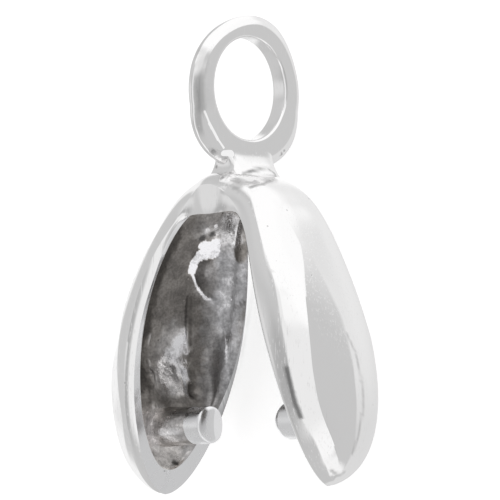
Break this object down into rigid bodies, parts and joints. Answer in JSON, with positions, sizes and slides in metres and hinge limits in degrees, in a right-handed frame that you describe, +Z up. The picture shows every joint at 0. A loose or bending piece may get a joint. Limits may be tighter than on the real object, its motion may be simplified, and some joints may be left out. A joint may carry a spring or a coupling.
{
  "type": "pinch bail",
  "caption": "Silver pinch bail: a closed ring on a short neck over two hollow leaves whose inward pegs pinch a pendant drop.",
  "frame": {"origin": "centre of the bail's footprint as it lies on its side on the ring's edge and both leaves", "axes": "+Y along the bail towards its ring, X through both pegs and the ring's hole, +Z up from the surface it lies on"},
  "size_m": [0.0084, 0.013, 0.0043],
  "materials": {
    "silver": "polished outside, rough as cast and darkened inside the leaves"
  },
  "bodies": {
    "root": {"pinch_bail": "silver"}
  },
  "joints": []
}
